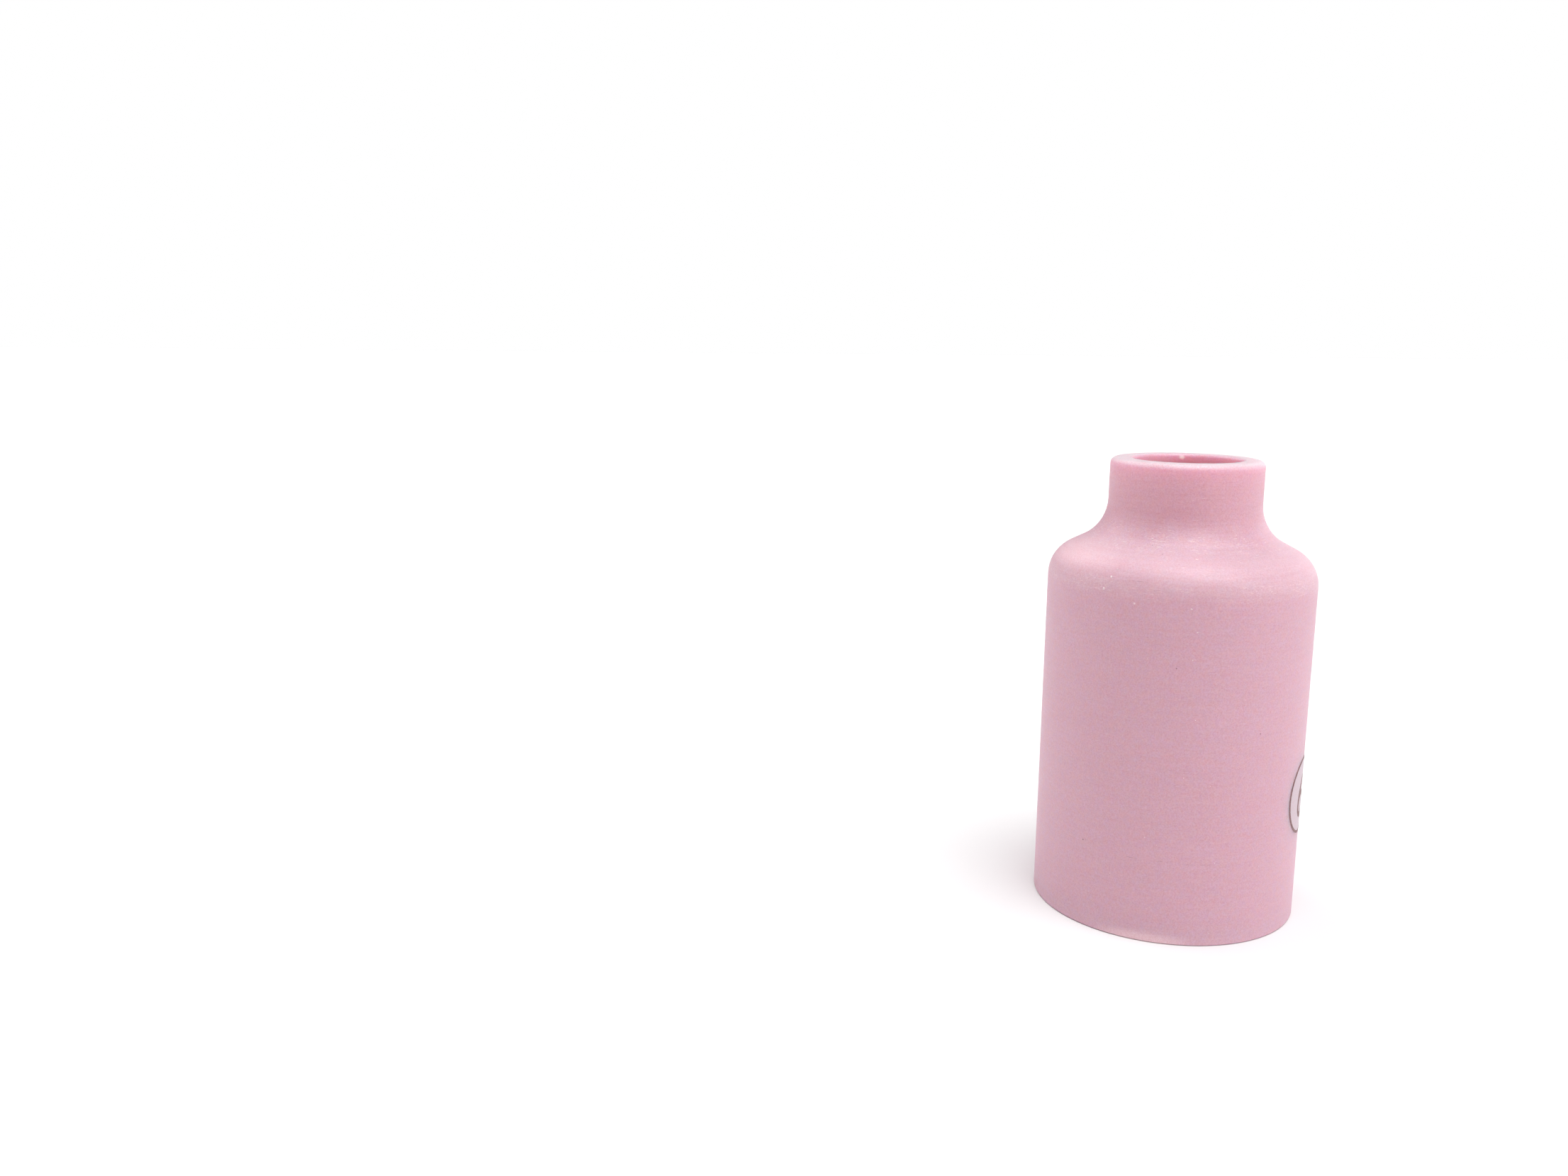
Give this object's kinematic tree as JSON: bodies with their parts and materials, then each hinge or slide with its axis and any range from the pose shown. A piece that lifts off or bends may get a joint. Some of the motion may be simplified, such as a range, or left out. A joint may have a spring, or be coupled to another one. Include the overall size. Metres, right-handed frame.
{
  "type": "tig torch gas cup",
  "caption": "Bottle-shaped ceramic gas cup for a TIG torch: wide body open and threaded inside at its base, sloping shoulder, narrow open mouth.",
  "frame": {"origin": "centre of the base rim, the face that the cup stands on", "axes": "+Z along the cup's axis, from the wide threaded base to the narrow mouth; +X and +Y are level, and the thread's groove faces +X at the height of whole pitches"},
  "size_m": [0.0236, 0.0236, 0.0413],
  "materials": {
    "alumina": "unglazed matte bisque, pink"
  },
  "bodies": {
    "root": {"gas_cup": "alumina"}
  },
  "joints": []
}
